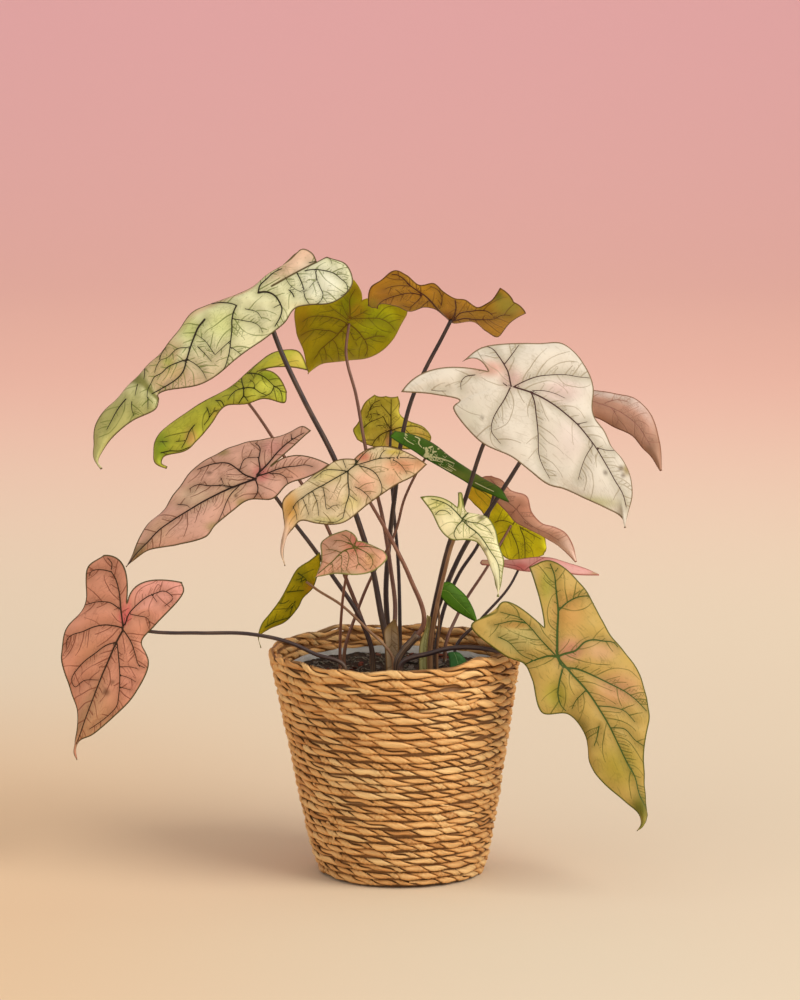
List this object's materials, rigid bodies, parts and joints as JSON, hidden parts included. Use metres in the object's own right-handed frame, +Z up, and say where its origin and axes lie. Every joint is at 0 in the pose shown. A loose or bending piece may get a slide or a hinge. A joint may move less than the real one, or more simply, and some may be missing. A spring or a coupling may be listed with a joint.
{
  "type": "caladium in a woven basket pot",
  "caption": "Caladium with arrow-shaped pink, cream and green veined leaves on thin dark stalks, standing in soil in a round woven rope basket pot.",
  "frame": {"origin": "centre of the basket's flat base, on the surface it stands on", "axes": "+Z up, -Y towards the viewer, +X to the viewer's right"},
  "size_m": [0.3777, 0.1823, 0.3945],
  "materials": {
    "basket": "dry twisted grass rope",
    "liner": "thin pale film",
    "soil": "matte, crumbly, with bark",
    "leaf_pale_green": "soft sheen",
    "leaf_olive": "soft sheen",
    "leaf_yellow_green": "soft sheen",
    "leaf_pink": "soft sheen",
    "leaf_cream": "soft sheen",
    "leaf_brown_olive": "soft sheen",
    "leaf_dark_green": "soft sheen",
    "leaf_orange_pink": "soft sheen",
    "leaf_plain_green": "soft sheen",
    "stalk_brown": "satin",
    "stalk_red": "satin",
    "stalk_tan": "satin",
    "sheath": "dry, papery"
  },
  "bodies": {
    "root": {"basket": "basket", "liner": "liner", "soil": "soil", "sheath_papery": "sheath", "sheath_hanging": "sheath", "blade_pale_upper_left": "leaf_pale_green", "blade_olive_back": "leaf_olive", "blade_yellow_green_left": "leaf_yellow_green", "blade_pink_left": "leaf_pink", "blade_pink_far_left": "leaf_pink", "blade_cream_front": "leaf_cream", "blade_pink_small": "leaf_pink", "blade_green_turned": "leaf_yellow_green", "blade_brown_olive_top": "leaf_brown_olive", "blade_white_right": "leaf_cream", "blade_pink_right_back": "leaf_pink", "blade_lime_back": "leaf_yellow_green", "blade_variegated_edge_on": "leaf_dark_green", "blade_pale_small_front": "leaf_yellow_green", "blade_pink_back_right": "leaf_pink", "blade_lime_back_right": "leaf_olive", "blade_pink_edge_on": "leaf_pink", "blade_yellow_pink_right": "leaf_orange_pink", "blade_lance_small": "leaf_plain_green", "blade_seedling": "leaf_plain_green", "stalk_pale_upper_left": "stalk_brown", "stalk_olive_back": "stalk_red", "stalk_yellow_green_left": "stalk_red", "stalk_pink_left": "stalk_brown", "stalk_pink_far_left": "stalk_brown", "stalk_cream_front": "stalk_red", "stalk_pink_small": "stalk_red", "stalk_green_turned": "stalk_tan", "stalk_brown_olive_top": "stalk_brown", "stalk_white_right": "stalk_brown", "stalk_pink_right_back": "stalk_brown", "stalk_lime_back": "stalk_brown", "stalk_variegated": "stalk_red", "stalk_pale_small_front": "stalk_tan", "stalk_pink_back_right": "stalk_brown", "stalk_lime_back_right": "stalk_red", "stalk_pink_edge_on": "stalk_brown", "stalk_yellow_pink_right": "stalk_brown", "stalk_lance_small": "stalk_tan"}
  },
  "joints": []
}
